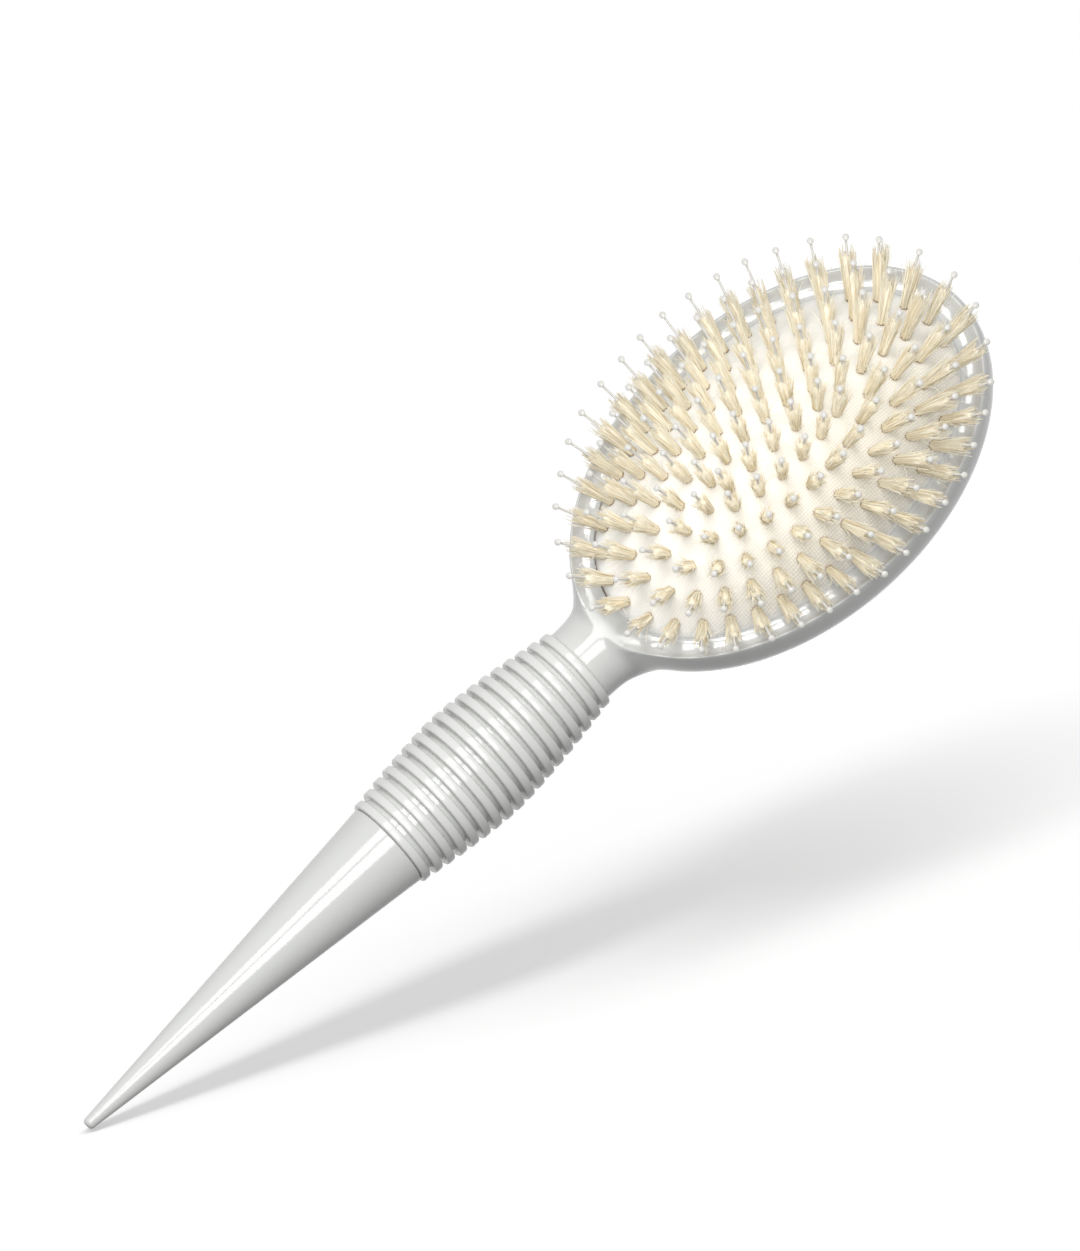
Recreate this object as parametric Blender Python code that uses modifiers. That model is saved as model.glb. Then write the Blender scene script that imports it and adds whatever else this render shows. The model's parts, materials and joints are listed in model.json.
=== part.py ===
# Oval air-cushion grooming brush with boar bristle tufts, ball-tip pins and a ringed grip.
# The brush lies on its back, bristles up. X runs along it, towards the head. Z is up, and Z = 0 is
# the plane that the head's flat back and the widest grip ring rest on.
# Lengths are in metres, written as millimetres times MM.

import math

import bmesh
import bpy
from mathutils import Matrix, Vector

MM = 0.001

# Clearances between pieces that seat on each other
SEAT_GAP = 0.3 * MM
FACING_GAP = 0.4 * MM

# Head: half lengths and half widths are those of the rim's crest
HEAD_HALF_LENGTH = 48.9 * MM
HEAD_HALF_WIDTH = 30.9 * MM
RIM_WIDTH_END = 5.1 * MM
RIM_WIDTH_SIDE = 4.5 * MM
RIM_HEIGHT = 23.6 * MM
RIM_EDGE_DROP = 1.0 * MM
CHANNEL_DEPTH = 1.9 * MM
CREST_ROUND = 0.2 * MM
SHOULDER_FLARE = 1.0 * MM
SHOULDER_DROP = 0.9 * MM
WALL_FLARE = 1.7 * MM
WALL_WIDEST_DROP = 7.0 * MM
FLARE_FADE = 0.8
BACK_FLAT_SHARE = 0.42
HEAD_SEGMENTS = 32
NECK_TOP_LOOP = 5
NECK_BOTTOM_LOOP = 9
NECK_SIDE_SEGMENTS = 2

# Cushion: its edge where it comes out of the head, its crown and its rubber
PAD_EDGE_DROP = 0.6 * MM
PAD_CROWN = 10.6 * MM
PAD_CURVE = 2.54
RUBBER_THICKNESS = 1.5 * MM
FACING_THICKNESS = 0.8 * MM
FLANGE_REACH = 2.3 * MM
FLANGE_THICKNESS = 1.2 * MM
FLANGE_DROP = 2.9 * MM
FLANGE_LIP_INSET = 1.4 * MM
LEDGE_INSET = 0.6 * MM
CHAMBER_FLOOR = 3.4 * MM
CUT_OVERSHOOT = 2.0 * MM
CUSHION_SEGMENTS = 32

# Tufts: a centre row, with ovals of tufts round it, six more tufts in each than in the one inside
CENTRE_ROW_TUFTS = 5
TUFT_OVALS = 5
CENTRE_ROW_HALF_LENGTH = 12.1 * MM
OUTER_TUFT_INSET_LENGTH = 2.2 * MM
OUTER_TUFT_INSET_WIDTH = 2.0 * MM
OVAL_CROWDING = 0.15
PIN_LENGTH = 15.1 * MM
PIN_RADIUS = 0.35 * MM
BALL_RADIUS = 0.75 * MM
LOCK_LENGTH = 10.2 * MM
LOCK_ROOT_RADIUS = 0.6 * MM
LOCK_TIP_RADIUS = 0.85 * MM
LOCK_OFFSET = 1.1 * MM
LOCK_FLARE = 0.05
SPLAY = 1.1
ROOT_DEPTH = 0.5 * MM
CENTRE_STRIP_SEGMENTS = 16
STRAND_SIDES = 3

# Neck, grip and tail, all turned about one axis
GRIP_AXIS_HEIGHT = 12.7 * MM
NECK_RADIUS = 8.4 * MM
NECK_LENGTH = 5.1 * MM
TANG_RADIUS = 5.0 * MM
TANG_IN_TAIL = 22.0 * MM
RING_COUNT = 18
RING_PITCH = 2.947 * MM
RING_WIDTH = 2.05 * MM
RING_EDGE = 0.4 * MM
RING_RADIUS_HEAD = 9.4 * MM
RING_RADIUS_WIDEST = 12.7 * MM
RING_RADIUS_TAIL = 10.25 * MM
WIDEST_RING = 9.3
BARREL_CURVE = 1.5
CORE_RADIUS_HEAD = 7.8 * MM
CORE_RADIUS_WIDEST = 9.9 * MM
CORE_RADIUS_TAIL = 8.7 * MM
TAIL_LENGTH = 82.5 * MM
TAIL_BASE_RADIUS = 9.5 * MM
TAIL_BASE_CHAMFER = 0.3 * MM
TAIL_TIP_RADIUS = 1.3 * MM
TAIL_TIP_ROUND = 0.9 * MM
TURNED_STEPS = 24

# Sizes and places that follow from those above
PAD_HALF_LENGTH = HEAD_HALF_LENGTH - RIM_WIDTH_END
PAD_HALF_WIDTH = HEAD_HALF_WIDTH - RIM_WIDTH_SIDE
GRIP_LENGTH = (RING_COUNT - 1) * RING_PITCH + RING_WIDTH
WALL_HALF_LENGTH = HEAD_HALF_LENGTH + WALL_FLARE
WALL_HALF_WIDTH = HEAD_HALF_WIDTH + WALL_FLARE
BRUSH_LENGTH = 2 * WALL_HALF_LENGTH + NECK_LENGTH + GRIP_LENGTH + TAIL_LENGTH + 2 * SEAT_GAP
HEAD_X = BRUSH_LENGTH / 2 - WALL_HALF_LENGTH
NECK_END_X = HEAD_X - WALL_HALF_LENGTH - NECK_LENGTH
GRIP_FRONT_X = NECK_END_X - SEAT_GAP
GRIP_BACK_X = GRIP_FRONT_X - GRIP_LENGTH
TAIL_FRONT_X = GRIP_BACK_X - SEAT_GAP
PAD_EDGE_Z = RIM_HEIGHT - PAD_EDGE_DROP
FLANGE_TOP_Z = RIM_HEIGHT - FLANGE_DROP
FLANGE_BOTTOM_Z = FLANGE_TOP_Z - FLANGE_THICKNESS
LEDGE_Z = FLANGE_BOTTOM_Z - SEAT_GAP

WHITE = (0.82, 0.83, 0.81)
GRIP_WHITE = (0.80, 0.81, 0.79)
RUBBER = (0.86, 0.82, 0.73)
BRISTLE = (0.80, 0.70, 0.48)


def clear_scene():
    for old in list(bpy.data.objects):
        bpy.data.objects.remove(old, do_unlink=True)


def make_collection(name):
    collection = bpy.data.collections.new(name)
    bpy.context.scene.collection.children.link(collection)
    return collection


def make_material(name, colour, roughness, metallic=0.0):
    material = bpy.data.materials.new(name)
    material.use_nodes = True
    shader = material.node_tree.nodes["Principled BSDF"]
    shader.inputs["Base Color"].default_value = (*colour, 1.0)
    shader.inputs["Roughness"].default_value = roughness
    shader.inputs["Metallic"].default_value = metallic
    return material


def add_object(name, bm, collection, material=None, location=(0.0, 0.0, 0.0)):
    mesh = bpy.data.meshes.new(name)
    bmesh.ops.recalc_face_normals(bm, faces=bm.faces)
    bm.to_mesh(mesh)
    bm.free()
    mesh.shade_smooth()
    piece = bpy.data.objects.new(name, mesh)
    piece.location = location
    if material is not None:
        mesh.materials.append(material)
    collection.objects.link(piece)
    return piece


def add_boolean(piece, cutter, operation):
    cutter.display_type = "WIRE"
    cutter.hide_render = True
    modifier = piece.modifiers.new(operation.lower() + "_" + cutter.name, "BOOLEAN")
    modifier.operation = operation
    modifier.solver = "EXACT"
    modifier.object = cutter


def bridge(bm, lower, upper, skip=()):
    # A band of four-sided faces between two closed loops with the same number of points
    count = len(lower)
    for i in range(count):
        if i in skip:
            continue
        j = (i + 1) % count
        bm.faces.new((lower[i], lower[j], upper[j], upper[i]))


def oval_loop(bm, half_length, half_width, height, angles):
    return [
        bm.verts.new((half_length * math.cos(a), half_width * math.sin(a), height)) for a in angles
    ]


def even_angles(count):
    return [2 * math.pi * i / count for i in range(count)]


def loft_ovals(bm, sections, segments):
    # A closed solid through ovals, each given by its half length, half width and height
    loops = [oval_loop(bm, a, b, z, even_angles(segments)) for a, b, z in sections]
    for lower, upper in zip(loops, loops[1:]):
        bridge(bm, lower, upper)
    bm.faces.new(loops[0])
    bm.faces.new(loops[-1])
    return loops


def pad_oval(offset):
    return PAD_HALF_LENGTH + offset, PAD_HALF_WIDTH + offset


def pad_share(share):
    return PAD_HALF_LENGTH * share, PAD_HALF_WIDTH * share


def pad_height(x, y):
    # Height of the facing above the pad's own oval, from its edge to the crown
    reach = math.hypot(x / PAD_HALF_LENGTH, y / PAD_HALF_WIDTH)
    return PAD_EDGE_Z + PAD_CROWN * (1 - reach ** PAD_CURVE)


def pad_lean(x, y):
    # Direction that a tuft at x, y stands in: the facing's own normal, leaned out by SPLAY
    reach = max(math.hypot(x / PAD_HALF_LENGTH, y / PAD_HALF_WIDTH), 0.001)
    steepness = PAD_CROWN * PAD_CURVE * reach ** (PAD_CURVE - 2) * SPLAY
    lean_x = steepness * x / PAD_HALF_LENGTH ** 2
    lean_y = steepness * y / PAD_HALF_WIDTH ** 2
    return Vector((lean_x, lean_y, 1.0)).normalized()


def between(first, second, share):
    return first + (second - first) * share


# Head, neck and tang
def head_sections():
    # Outside of the head, from the edge of the opening, over the rim and wall, to the flat back.
    # Each oval has two heights: its own, and that over the neck, where the rim fades away.
    # Subdivision pulls each loop in a little, so the loops are set out by the same share.
    opening_a, opening_b = pad_oval(SEAT_GAP)
    pull = (4 + 2 * math.cos(2 * math.pi / HEAD_SEGMENTS)) / 6
    edge_z = RIM_HEIGHT - RIM_EDGE_DROP
    channel_z = RIM_HEIGHT - CHANNEL_DEPTH
    widest_z = RIM_HEIGHT - WALL_WIDEST_DROP

    def saddle(share):
        return between(edge_z, GRIP_AXIS_HEIGHT + NECK_RADIUS, share)

    def across(share, height, neck_height):
        a = between(opening_a, HEAD_HALF_LENGTH, share)
        b = between(opening_b, HEAD_HALF_WIDTH, share)
        return a / pull, b / pull, 0.0, height, neck_height

    def wall(flare, height, neck_height):
        return HEAD_HALF_LENGTH / pull, HEAD_HALF_WIDTH / pull, flare / pull, height, neck_height

    def back(share, height):
        scale = share / pull
        return HEAD_HALF_LENGTH * scale, HEAD_HALF_WIDTH * scale, WALL_FLARE * scale, height, height

    shoulder_z = between(RIM_HEIGHT, widest_z, 0.45)
    return [
        across(-0.25, edge_z, edge_z),
        across(0.0, edge_z, edge_z),
        across(0.42, channel_z, saddle(0.1)),
        across(0.8, RIM_HEIGHT - CREST_ROUND, saddle(0.3)),
        wall(CREST_ROUND / 2, RIM_HEIGHT + CREST_ROUND, saddle(0.5)),
        wall(SHOULDER_FLARE, RIM_HEIGHT - SHOULDER_DROP, saddle(0.75)),
        wall(WALL_FLARE * 0.85, shoulder_z, shoulder_z),
        wall(WALL_FLARE * 1.1, widest_z, widest_z),
        back(0.975, widest_z * 0.72),
        back(0.87, widest_z * 0.34),
        back(0.68, widest_z * 0.1),
        back(BACK_FLAT_SHARE * 1.25, 0.0),
        back(BACK_FLAT_SHARE, 0.0),
    ]


def head_loop(bm, section, angles):
    # An oval whose flare fades towards the neck, and which dips to its other height over the neck
    half_length, half_width, flare, height, neck_height = section
    saddle_end = math.cos(2 * math.pi * NECK_SIDE_SEGMENTS / HEAD_SEGMENTS)
    points = []
    for angle in angles:
        towards_tail = -math.cos(angle)
        fade = 1 - FLARE_FADE * ((1 + towards_tail) / 2) ** 2
        dip = max(0.0, (towards_tail - saddle_end) / (1 - saddle_end))
        x = (half_length + flare * fade) * math.cos(angle)
        y = (half_width + flare * fade) * math.sin(angle)
        points.append(bm.verts.new((x, y, between(height, neck_height, dip))))
    return points


def neck_window(loops):
    # The faces left open for the neck, at the tail end of the wall, and the points round them
    middle = HEAD_SEGMENTS // 2
    first = middle - NECK_SIDE_SEGMENTS
    last = middle + NECK_SIDE_SEGMENTS
    top = [loops[NECK_TOP_LOOP][i] for i in range(first, last + 1)]
    bottom = [loops[NECK_BOTTOM_LOOP][i] for i in range(last, first - 1, -1)]
    rows = range(NECK_TOP_LOOP + 1, NECK_BOTTOM_LOOP)
    down = [loops[row][last] for row in rows]
    up = [loops[row][first] for row in reversed(rows)]
    return range(first, last), top + down + bottom + up


def neck_loop(bm, radius, x, count):
    # A ring of points round the grip's axis that starts at the window's first corner
    pull = (4 + 2 * math.cos(2 * math.pi / count)) / 6
    points = []
    for i in range(count):
        angle = math.pi / 4 - 2 * math.pi * i / count
        y = radius / pull * math.sin(angle)
        z = GRIP_AXIS_HEIGHT + radius / pull * math.cos(angle)
        points.append(bm.verts.new((x - HEAD_X, y, z)))
    return points


def make_head(parts, cutters, material):
    bm = bmesh.new()
    crease = bm.edges.layers.float.new("crease_edge")
    angles = even_angles(HEAD_SEGMENTS)
    loops = [head_loop(bm, section, angles) for section in head_sections()]
    open_faces, window = neck_window(loops)
    for row in range(len(loops) - 1):
        neck_rows = NECK_TOP_LOOP <= row < NECK_BOTTOM_LOOP
        bridge(bm, loops[row], loops[row + 1], skip=open_faces if neck_rows else ())
    bm.faces.new(loops[0])
    bm.faces.new(loops[-1])

    # The neck leaves the wall in a short fillet and runs straight to the first ring
    wall_end = HEAD_X - WALL_HALF_LENGTH
    flare = NECK_RADIUS * 1.06
    stations = [
        (flare, between(wall_end, NECK_END_X, 0.12)),
        (NECK_RADIUS * 1.01, between(wall_end, NECK_END_X, 0.5)),
        (NECK_RADIUS, NECK_END_X),
    ]
    previous = window
    for radius, x in stations:
        ring = neck_loop(bm, radius, x, len(window))
        bridge(bm, previous, ring)
        previous = ring
    end_face = bm.faces.new(previous)
    for edge in end_face.edges:
        edge[crease] = 1.0

    head = add_object("head_and_neck", bm, parts, material, (HEAD_X, 0.0, 0.0))
    smooth = head.modifiers.new("soft_form", "SUBSURF")
    smooth.levels = 1
    smooth.render_levels = 1

    add_boolean(head, tang_solid(cutters), "UNION")
    add_boolean(head, chamber_cutter(cutters), "DIFFERENCE")
    return head


def tang_solid(cutters):
    # A slightly tapered rod that carries the grip core and the tail
    length = SEAT_GAP + GRIP_LENGTH + SEAT_GAP + TANG_IN_TAIL
    overlap = NECK_LENGTH / 2
    bm = bmesh.new()
    turn = Matrix.Rotation(math.pi / 2, 4, "Y")
    centre = Matrix.Translation((NECK_END_X + overlap - (length + overlap) / 2, 0.0, GRIP_AXIS_HEIGHT))
    bmesh.ops.create_cone(
        bm, cap_ends=True, segments=24, radius1=TANG_RADIUS * 0.94, radius2=TANG_RADIUS,
        depth=length + overlap, matrix=centre @ turn,
    )
    return add_object("tang", bm, cutters)


def chamber_cutter(cutters):
    # The opening, the groove that holds the cushion's flange, and the air chamber below it
    groove_a, groove_b = pad_oval(FLANGE_REACH + SEAT_GAP)
    opening_a, opening_b = pad_oval(SEAT_GAP)
    ledge_a, ledge_b = pad_oval(-LEDGE_INSET)
    roof_z = FLANGE_TOP_Z + SEAT_GAP
    middle_a, middle_b = pad_share(0.78)
    floor_a, floor_b = pad_share(0.42)
    sections = [
        (opening_a, opening_b, RIM_HEIGHT + CUT_OVERSHOOT),
        (opening_a, opening_b, roof_z),
        (groove_a, groove_b, roof_z),
        (groove_a, groove_b, LEDGE_Z),
        (ledge_a, ledge_b, LEDGE_Z),
        (ledge_a, ledge_b, between(LEDGE_Z, CHAMBER_FLOOR, 0.3)),
        (middle_a, middle_b, between(LEDGE_Z, CHAMBER_FLOOR, 0.85)),
        (floor_a, floor_b, CHAMBER_FLOOR),
    ]
    bm = bmesh.new()
    loft_ovals(bm, sections, CUSHION_SEGMENTS)
    return add_object("chamber", bm, cutters, location=(HEAD_X, 0.0, 0.0))


# Cushion
def make_cushion(parts, material):
    # A domed rubber sheet whose flange is held in the head's groove
    drop = FACING_THICKNESS + FACING_GAP
    outside = []
    inside = []
    for share in (0.22, 0.45, 0.66, 0.84, 0.95):
        a, b = pad_share(share)
        top = pad_height(a, 0.0) - drop
        outside.append((a, b, top))
        inner_share = share * 0.955
        inner_a, inner_b = pad_share(inner_share)
        inside.append((inner_a, inner_b, pad_height(inner_a, 0.0) - drop - RUBBER_THICKNESS * 1.2))
    edge_a, edge_b = pad_oval(0.0)
    flange_a, flange_b = pad_oval(FLANGE_REACH)
    lip_a, lip_b = pad_oval(-FLANGE_LIP_INSET - RUBBER_THICKNESS)
    flange = [
        (edge_a, edge_b, PAD_EDGE_Z - drop),
        (edge_a, edge_b, FLANGE_TOP_Z),
        (flange_a, flange_b, FLANGE_TOP_Z),
        (flange_a, flange_b, FLANGE_BOTTOM_Z),
        (lip_a, lip_b, FLANGE_BOTTOM_Z),
    ]
    bm = bmesh.new()
    loft_ovals(bm, outside + flange + inside[::-1], CUSHION_SEGMENTS)
    return add_object("cushion", bm, parts, material, (HEAD_X, 0.0, 0.0))


# Tufts
def oval_sizes():
    # Half length and half width of the centre row and of each oval of tufts
    outer_a = PAD_HALF_LENGTH - OUTER_TUFT_INSET_LENGTH
    outer_b = PAD_HALF_WIDTH - OUTER_TUFT_INSET_WIDTH
    sizes = []
    for k in range(TUFT_OVALS + 1):
        share = k / TUFT_OVALS
        width_share = share + OVAL_CROWDING * share * (1 - share)
        sizes.append((between(CENTRE_ROW_HALF_LENGTH, outer_a, share), outer_b * width_share))
    return sizes


def band_edges():
    # Ovals halfway between the tuft ovals, where one strip of facing ends and the next begins
    sizes = oval_sizes()
    edges = []
    for (a0, b0), (a1, b1) in zip(sizes, sizes[1:]):
        edges.append(((a0 + a1) / 2, (b0 + b1) / 2))
    edges.append(pad_oval(0.0))
    return edges


def oval_angles(half_length, half_width, count, start):
    # Angles of points spaced evenly along an oval, the first one start spacings from its head end
    fine = 2000
    lengths = [0.0]
    for i in range(fine):
        a0 = 2 * math.pi * i / fine
        a1 = 2 * math.pi * (i + 1) / fine
        step_x = half_length * (math.cos(a1) - math.cos(a0))
        step_y = half_width * (math.sin(a1) - math.sin(a0))
        lengths.append(lengths[-1] + math.hypot(step_x, step_y))
    angles = []
    i = 0
    for n in range(count):
        wanted = lengths[-1] * (n + start) / count
        while lengths[i + 1] < wanted:
            i += 1
        part = (wanted - lengths[i]) / (lengths[i + 1] - lengths[i])
        angles.append(2 * math.pi * (i + part) / fine)
    return angles


def tuft_count(k):
    return 2 * (CENTRE_ROW_TUFTS - 1) + 6 * k


def tuft_places(k):
    # Root and sideways direction of each tuft of one oval, in the head's own frame
    a, b = oval_sizes()[k]
    if k == 0:
        steps = [2 * i / (CENTRE_ROW_TUFTS - 1) - 1 for i in range(CENTRE_ROW_TUFTS)]
        places = [(a * step, 0.0, Vector((1.0, 0.0, 0.0))) for step in steps]
    else:
        places = []
        for angle in oval_angles(a, b, tuft_count(k), 0.0):
            along = Vector((-a * math.sin(angle), b * math.cos(angle), 0.0))
            places.append((a * math.cos(angle), b * math.sin(angle), along))
    tufts = []
    for x, y, along in places:
        lean = pad_lean(x, y)
        side = (along - lean * along.dot(lean)).normalized()
        tufts.append((Vector((x, y, pad_height(x, y))), lean, side))
    return tufts


def add_strand(bm, root, lean, side, profile, point=None):
    # A straight three-sided strand through rings of the given distance and radius, with one corner
    # turned to side. It ends flat, or in a point at the given distance.
    across = lean.cross(side).normalized()
    loops = []
    for distance, radius in profile:
        ring = []
        for angle in even_angles(STRAND_SIDES):
            offset = side * math.cos(angle) + across * math.sin(angle)
            ring.append(bm.verts.new(root + lean * distance + offset * radius))
        loops.append(ring)
    for lower, upper in zip(loops, loops[1:]):
        bridge(bm, lower, upper)
    bm.faces.new(loops[0])
    if point is None:
        bm.faces.new(loops[-1])
        return
    end = bm.verts.new(root + lean * point)
    for i in range(STRAND_SIDES):
        bm.faces.new((loops[-1][i - 1], loops[-1][i], end))


def tuft_strands(k, cutters):
    # Each tuft is one ball-tip pin between two locks of bristle
    pin = [
        (-ROOT_DEPTH, PIN_RADIUS),
        (PIN_LENGTH - BALL_RADIUS, PIN_RADIUS),
        (PIN_LENGTH, BALL_RADIUS),
    ]
    lock = [(-ROOT_DEPTH, LOCK_ROOT_RADIUS), (LOCK_LENGTH, LOCK_TIP_RADIUS)]
    bm = bmesh.new()
    for root, lean, side in tuft_places(k):
        add_strand(bm, root, lean, side, pin, PIN_LENGTH + BALL_RADIUS)
        for away in (side, -side):
            lock_lean = (lean + away * LOCK_FLARE).normalized()
            add_strand(bm, root + away * LOCK_OFFSET, lock_lean, away, lock)
    return add_object(f"strands_{k + 1}", bm, cutters, location=(HEAD_X, 0.0, 0.0))


def band_loop(bm, half_length, half_width, drop, angles):
    points = []
    for angle in angles:
        x = half_length * math.cos(angle)
        y = half_width * math.sin(angle)
        points.append(bm.verts.new((x, y, pad_height(x, y) - drop)))
    return points


def make_bristle_oval(k, parts, cutters, material):
    # One strip of the facing with its tufts; its edges are upright, so strips can slide apart
    bm = bmesh.new()
    edges = band_edges()
    outer_a, outer_b = edges[k]
    if k < TUFT_OVALS:
        outer_a -= SEAT_GAP / 2
        outer_b -= SEAT_GAP / 2
    if k == 0:
        angles = oval_angles(outer_a, outer_b, CENTRE_STRIP_SEGMENTS, 0.5)
        edge_loops = []
        for drop in (0.0, FACING_THICKNESS):
            edge = band_loop(bm, outer_a, outer_b, drop, angles)
            middle = band_loop(bm, outer_a / 2, outer_b / 2, drop, angles)
            crown = bm.verts.new((0.0, 0.0, pad_height(0.0, 0.0) - drop))
            bridge(bm, edge, middle)
            for i in range(CENTRE_STRIP_SEGMENTS):
                bm.faces.new((middle[i - 1], middle[i], crown))
            edge_loops.append(edge)
        bridge(bm, edge_loops[0], edge_loops[1])
    else:
        count = tuft_count(k)
        angles = oval_angles(*oval_sizes()[k], count, 0.5)
        out = 1 / math.cos(math.pi / count)
        inner_a = (edges[k - 1][0] + SEAT_GAP / 2) * out
        inner_b = (edges[k - 1][1] + SEAT_GAP / 2) * out
        loops = [
            band_loop(bm, inner_a, inner_b, 0.0, angles),
            band_loop(bm, outer_a, outer_b, 0.0, angles),
            band_loop(bm, outer_a, outer_b, FACING_THICKNESS, angles),
            band_loop(bm, inner_a, inner_b, FACING_THICKNESS, angles),
        ]
        for i in range(len(loops)):
            bridge(bm, loops[i - 1], loops[i])
    band = add_object(f"bristle_oval_{k + 1}", bm, parts, material, (HEAD_X, 0.0, 0.0))
    add_boolean(band, tuft_strands(k, cutters), "UNION")
    return band


# Grip and tail
def barrel_radius(place, head_end, widest, tail_end):
    # Radius of the barrel at a ring's number, counted from 0 at the head
    if place < WIDEST_RING:
        return between(widest, head_end, (1 - place / WIDEST_RING) ** BARREL_CURVE)
    share = (place - WIDEST_RING) / (RING_COUNT - 1 - WIDEST_RING)
    return between(widest, tail_end, min(1.0, share) ** BARREL_CURVE)


def core_radius(x):
    place = (GRIP_FRONT_X - RING_WIDTH / 2 - x) / RING_PITCH
    place = min(max(place, 0.0), RING_COUNT - 1)
    return barrel_radius(place, CORE_RADIUS_HEAD, CORE_RADIUS_WIDEST, CORE_RADIUS_TAIL)


def turned(name, profile, x, parts, material, closed=False):
    # A profile of radius and height, turned about the grip's axis; height runs towards the head
    mesh = bpy.data.meshes.new(name)
    points = [(radius, 0.0, height) for radius, height in profile]
    edges = [(i, i + 1) for i in range(len(points) - 1)]
    if closed:
        edges.append((len(points) - 1, 0))
    mesh.from_pydata(points, edges, [])
    mesh.materials.append(material)
    piece = bpy.data.objects.new(name, mesh)
    piece.location = (x, 0.0, GRIP_AXIS_HEIGHT)
    piece.rotation_euler = (0.0, math.pi / 2, 0.0)
    screw = piece.modifiers.new("turn", "SCREW")
    screw.axis = "Z"
    screw.angle = 2 * math.pi
    screw.steps = TURNED_STEPS
    screw.render_steps = TURNED_STEPS
    screw.use_merge_vertices = True
    screw.merge_threshold = 0.00001
    screw.use_smooth_shade = True
    parts.objects.link(piece)
    return piece


def make_grip_core(parts, material):
    # A barrel-shaped sleeve on the tang, which the rings sit on
    bore = TANG_RADIUS + SEAT_GAP
    stations = 7
    profile = []
    for i in range(stations):
        drop = GRIP_LENGTH * i / (stations - 1)
        profile.append((core_radius(GRIP_FRONT_X - drop), -drop))
    profile.append((bore, -GRIP_LENGTH))
    profile.append((bore, 0.0))
    return turned("grip_core", profile, GRIP_FRONT_X, parts, material, closed=True)


def make_grip_ring(number, parts, material):
    # A flat-faced ring with rounded edges; its bore follows the core's slope
    x = GRIP_FRONT_X - RING_WIDTH / 2 - RING_PITCH * number
    half = RING_WIDTH / 2
    outer = barrel_radius(number, RING_RADIUS_HEAD, RING_RADIUS_WIDEST, RING_RADIUS_TAIL)
    widest_core = max(core_radius(x + half), core_radius(x), core_radius(x - half))
    bore = widest_core + SEAT_GAP
    edge = min(RING_EDGE, (outer - bore) * 0.45)
    profile = [
        (outer - edge, half),
        (outer, half - edge),
        (outer, edge - half),
        (outer - edge, -half),
        (bore, -half),
        (bore, half),
    ]
    return turned(f"grip_ring_{number + 1:02d}", profile, x, parts, material, closed=True)


def make_tail(parts, material):
    # A long cone with a rounded tip and a socket for the tang
    bore = TANG_RADIUS + SEAT_GAP
    socket = TANG_IN_TAIL + SEAT_GAP
    tip_z = -TAIL_LENGTH
    profile = [
        (0.0, -socket),
        (bore, -socket),
        (bore, 0.0),
        (TAIL_BASE_RADIUS - TAIL_BASE_CHAMFER, 0.0),
        (TAIL_BASE_RADIUS, -TAIL_BASE_CHAMFER),
    ]
    taper_end = tip_z + TAIL_TIP_ROUND
    for share in (0.35, 0.7, 1.0):
        radius = between(TAIL_BASE_RADIUS, TAIL_TIP_RADIUS, share)
        profile.append((radius, taper_end * share))
    flat = TAIL_TIP_RADIUS - TAIL_TIP_ROUND
    for i in range(1, 4):
        angle = math.pi / 2 * i / 3
        radius = flat + TAIL_TIP_ROUND * math.cos(angle)
        profile.append((radius, taper_end - TAIL_TIP_ROUND * math.sin(angle)))
    profile.append((0.0, tip_z))
    return turned("tail_cone", profile, TAIL_FRONT_X, parts, material)


def main():
    clear_scene()
    parts = make_collection("grooming_brush")
    cutters = make_collection("cutters")
    white = make_material("gloss_white", WHITE, 0.16)
    ring_white = make_material("ring_white", GRIP_WHITE, 0.3)
    rubber = make_material("cushion_rubber", RUBBER, 0.7)
    bristle = make_material("boar_bristle", BRISTLE, 0.55)

    make_head(parts, cutters, white)
    make_cushion(parts, rubber)
    for k in range(TUFT_OVALS + 1):
        make_bristle_oval(k, parts, cutters, bristle)
    make_grip_core(parts, white)
    for number in range(RING_COUNT):
        make_grip_ring(number, parts, ring_white)
    make_tail(parts, white)


main()
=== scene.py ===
import json
import math
import random

import bmesh
import bpy
from mathutils import Matrix, Vector, kdtree


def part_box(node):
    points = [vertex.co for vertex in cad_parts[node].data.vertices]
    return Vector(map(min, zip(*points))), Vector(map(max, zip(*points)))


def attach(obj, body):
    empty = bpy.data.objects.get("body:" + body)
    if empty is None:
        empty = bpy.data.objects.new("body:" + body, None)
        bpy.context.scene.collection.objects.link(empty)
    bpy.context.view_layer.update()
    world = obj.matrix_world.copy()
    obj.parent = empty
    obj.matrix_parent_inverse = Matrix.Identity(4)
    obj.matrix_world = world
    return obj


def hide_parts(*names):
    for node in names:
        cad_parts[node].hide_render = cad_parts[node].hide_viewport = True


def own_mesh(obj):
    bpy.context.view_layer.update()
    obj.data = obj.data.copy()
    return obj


# Air-cushion grooming brush. It lies on its back, bristles up; X runs along it towards the head.
# Lengths are in metres, written as millimetres times mm.
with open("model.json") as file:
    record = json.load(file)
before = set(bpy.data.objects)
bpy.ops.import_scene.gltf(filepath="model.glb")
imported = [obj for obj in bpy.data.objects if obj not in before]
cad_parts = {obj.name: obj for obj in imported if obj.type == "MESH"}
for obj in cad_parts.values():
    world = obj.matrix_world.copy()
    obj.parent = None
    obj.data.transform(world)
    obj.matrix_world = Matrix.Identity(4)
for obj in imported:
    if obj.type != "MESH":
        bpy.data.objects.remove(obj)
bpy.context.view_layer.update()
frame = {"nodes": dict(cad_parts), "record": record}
mm = 0.001
print("frame loaded:", len(frame["nodes"]), "nodes")


# The camera, placed as the photograph sees the brush.
cameraSettings = {
    "place": (-0.569146, -1.031240, 3.732982),
    "turn": (17.25047, 4.51059, -43.45578),  # degrees
    "lens": 562.9,
    "sensor": 36.0,
    "farEnd": 100.0,
}


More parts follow.
